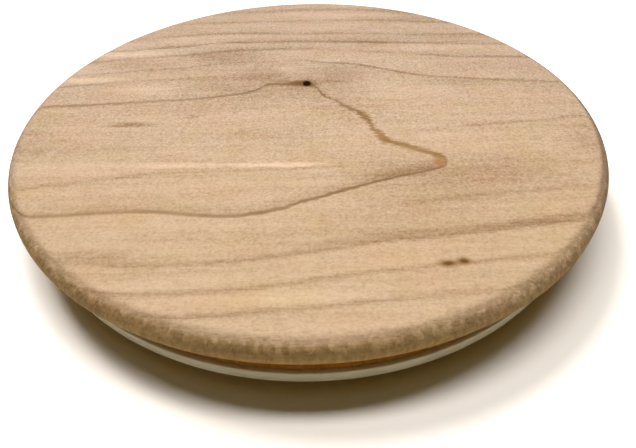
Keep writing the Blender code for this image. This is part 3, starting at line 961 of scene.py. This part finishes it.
def make_screws(material, places):
    finished = cut_away(screw_blank(), [cross_bar(0.0), cross_bar(math.pi / 2)])
    for i, (x, y) in enumerate(places):
        mesh = finished.copy()
        stop_angle = math.radians(SCREW_STOPS[i])
        mesh.transform(Matrix.Translation((x, y, 0.0)) @ Matrix.Rotation(stop_angle, 4, "Z"))
        screw = add_piece(f"wood_screw_{i + 1}", mesh, material, 30.0)
        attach(screw, "root")
        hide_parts(f"base_screw_{i + 1}")


# ---------------------------------------------------------------------------
# Stage, light and camera
# ---------------------------------------------------------------------------

CAMERA_PLACE = (1.36, -79.0, 46.6)       # millimetres, from the middle of the top face
CAMERA_DOWN = 43.92                      # degrees below the horizon
CAMERA_ROLL = -0.88
CAMERA_LENS = 28.3                       # millimetres
SENSOR_WIDTH = 36.0

KEY_PLACE = (4.0, -4.0, 270.0)           # millimetres: a wide soft lamp, all but straight overhead
KEY_WIDTH = 220.0
KEY_DEPTH = 56.0
KEY_POWER = 0.660                        # watts
KEY_COLOR = (1.0, 0.985, 0.97)
FILL_STRENGTH = 1.15                     # a second lamp, far away at the back left
FILL_SPREAD = 10.0
FILL_TILT = 31.0
FILL_TURN = 132.0
FILL_COLOR = (1.0, 0.96, 0.92)
AMBIENT_FRONT = (0.040, 0.038, 0.0, 1.0)
AMBIENT_BACK = (0.18, 0.171, 0.145, 1.0)

FLOOR_COLOR = (0.92, 0.872, 0.825, 1.0)
FLOOR_GLOW = (0.9, 0.95, 1.0, 1.0)
GLOW_STRENGTH = 0.6
GLOW_REACH = (50.5, 58.0)                # millimetres from SHADE_CENTER: where the glow starts and is full
SHADE_CENTER = (3.4, -3.2, 0.0)          # millimetres: the middle of the two lamps' shadows
WARM_BOUNCE_SHADE = (0.82, 0.66, 0.42, 1.0)      # painted on the table right beside the wood: shade, and the warm light that the wood throws
WARM_EDGE_REACH = (47.2, 50.4)           # millimetres from the lid's middle: full, and gone
FLOOR_DROP = 0.02                        # millimetres: the floors lie just below the lid's underside
BOUNCE_FLOOR_DROP = 0.06
FLOOR_ROUGHNESS = 0.9
BOUNCE_COLOR = (0.77, 0.69, 0.51, 1.0)   # the light that the table sends back up is dim and warm
FLOOR_RADIUS = 6.0                       # metres
BACKDROP_SHARE = 0.98                    # of the floor's radius


def add_stage_mesh(name, mesh, z, material):
    item = bpy.data.objects.new(name, mesh)
    item.location = (0.0, 0.0, z)
    mesh.materials.append(material)
    link(item)
    return item


def round_sheet(name):
    bm = bmesh.new()
    bmesh.ops.create_circle(bm, cap_ends=True, segments=128, radius=FLOOR_RADIUS)
    return finished_mesh(bm, name)


def only_for_camera(item):
    item.visible_diffuse = False
    item.visible_glossy = False
    item.visible_transmission = False
    item.visible_shadow = False


def make_stage():
    # The floor that the camera sees: pale, with a painted glow that makes it brighter away from the lid's
    # shadow
    g = MaterialGraph("pale_floor")
    place = g.add("ShaderNodeTexCoord").outputs["Object"]
    away = g.vector("DISTANCE", place, Vector(SHADE_CENTER) * MM)
    near = g.vector("LENGTH", place)
    # Painted shade and warm bounce light on the table right beside the lid
    full, gone = WARM_EDGE_REACH
    warm_bounce_shade = g.ramp(near, full * MM, gone * MM, 1.0, 0.0)
    g.feed(g.shader.inputs["Base Color"], g.mix(warm_bounce_shade, FLOOR_COLOR, tinted(g, FLOOR_COLOR, WARM_BOUNCE_SHADE)))
    g.feed(g.shader.inputs["Roughness"], FLOOR_ROUGHNESS)
    g.feed(g.shader.inputs["Specular IOR Level"], 0.0)
    g.feed(g.shader.inputs["Emission Color"], FLOOR_GLOW)
    start, full = GLOW_REACH
    g.feed(g.shader.inputs["Emission Strength"], g.ramp(away, start * MM, full * MM, 0.0, GLOW_STRENGTH))
    only_for_camera(add_stage_mesh("floor", round_sheet("floor"), -FLOOR_DROP * MM, g.material))

    # The floor that lights the lid's underside
    g = MaterialGraph("warm_bounce")
    g.feed(g.shader.inputs["Base Color"], BOUNCE_COLOR)
    g.feed(g.shader.inputs["Roughness"], FLOOR_ROUGHNESS)
    g.feed(g.shader.inputs["Specular IOR Level"], 0.0)
    bounce = add_stage_mesh("bounce_floor", round_sheet("bounce_floor"), -BOUNCE_FLOOR_DROP * MM, g.material)
    bounce.visible_camera = False

    # A pale dome behind everything, seen only by the camera
    g = MaterialGraph("pale_backdrop")
    g.feed(g.shader.inputs["Base Color"], (0.0, 0.0, 0.0, 1.0))
    g.feed(g.shader.inputs["Emission Color"], (1.0, 1.0, 1.0, 1.0))
    g.feed(g.shader.inputs["Emission Strength"], 1.0)
    bm = bmesh.new()
    bmesh.ops.create_uvsphere(bm, u_segments=48, v_segments=24, radius=FLOOR_RADIUS * BACKDROP_SHARE)
    only_for_camera(add_stage_mesh("backdrop", finished_mesh(bm, "backdrop"), 0.0, g.material))


def make_room_light():
    """The room is darker and warmer in front, where someone stands, than at the sides and the back."""
    world = bpy.data.worlds.new("studio")
    bpy.context.scene.world = world
    world.use_nodes = True
    sky = Graph(world.node_tree)
    toward = sky.split(sky.add("ShaderNodeTexCoord").outputs["Generated"])
    sideways = sky.math("MULTIPLY_ADD", toward[0], -0.25, sky.math("ABSOLUTE", toward[0]))
    backness = sky.math("MULTIPLY_ADD", toward[1], 0.8, sideways)
    tone = sky.mix(sky.ramp(backness, 0.0, 1.2), AMBIENT_FRONT, AMBIENT_BACK)
    sky.feed(sky.tree.nodes["Background"].inputs["Color"], tone)


def make_lamps():
    key = bpy.data.lights.new("overhead_key", "AREA")
    key.shape = "ELLIPSE"
    key.size = KEY_WIDTH * MM
    key.size_y = KEY_DEPTH * MM
    key.energy = KEY_POWER
    key.color = KEY_COLOR
    lamp = bpy.data.objects.new("overhead_key", key)
    lamp.location = Vector(KEY_PLACE) * MM
    upward = Vector(KEY_PLACE).normalized()
    lamp.rotation_euler = (-math.asin(upward.y), math.atan2(upward.x, upward.z), 0.0)
    link(lamp)

    fill = bpy.data.lights.new("back_left_fill", "SUN")
    fill.energy = FILL_STRENGTH
    fill.angle = math.radians(FILL_SPREAD)
    fill.color = FILL_COLOR
    lamp = bpy.data.objects.new("back_left_fill", fill)
    lamp.rotation_euler = (Matrix.Rotation(math.radians(FILL_TURN), 3, "Z")
                           @ Matrix.Rotation(math.radians(FILL_TILT), 3, "Y")).to_euler()
    link(lamp)


def make_camera():
    data = bpy.data.cameras.new("camera")
    data.sensor_width = SENSOR_WIDTH
    data.lens = CAMERA_LENS
    data.clip_start = 0.002
    data.clip_end = 30.0
    camera = bpy.data.objects.new("camera", data)
    camera.location = (Vector(CAMERA_PLACE) + Vector((0.0, 0.0, TOP_Z))) * MM
    look = Matrix.Rotation(math.radians(90.0 - CAMERA_DOWN), 3, "X")
    roll = Matrix.Rotation(math.radians(CAMERA_ROLL), 3, "Z")
    camera.rotation_euler = (look @ roll).to_euler()
    link(camera)
    bpy.context.scene.camera = camera


bpy.context.scene.view_settings.view_transform = "Standard"
make_camera()
make_stage()
make_room_light()
make_lamps()
hole_places = screw_centers()
make_lid(maple_top(), hole_places)
make_seal(white_silicone())
make_base(maple_base(), hole_places)
make_screws(stainless(), hole_places)
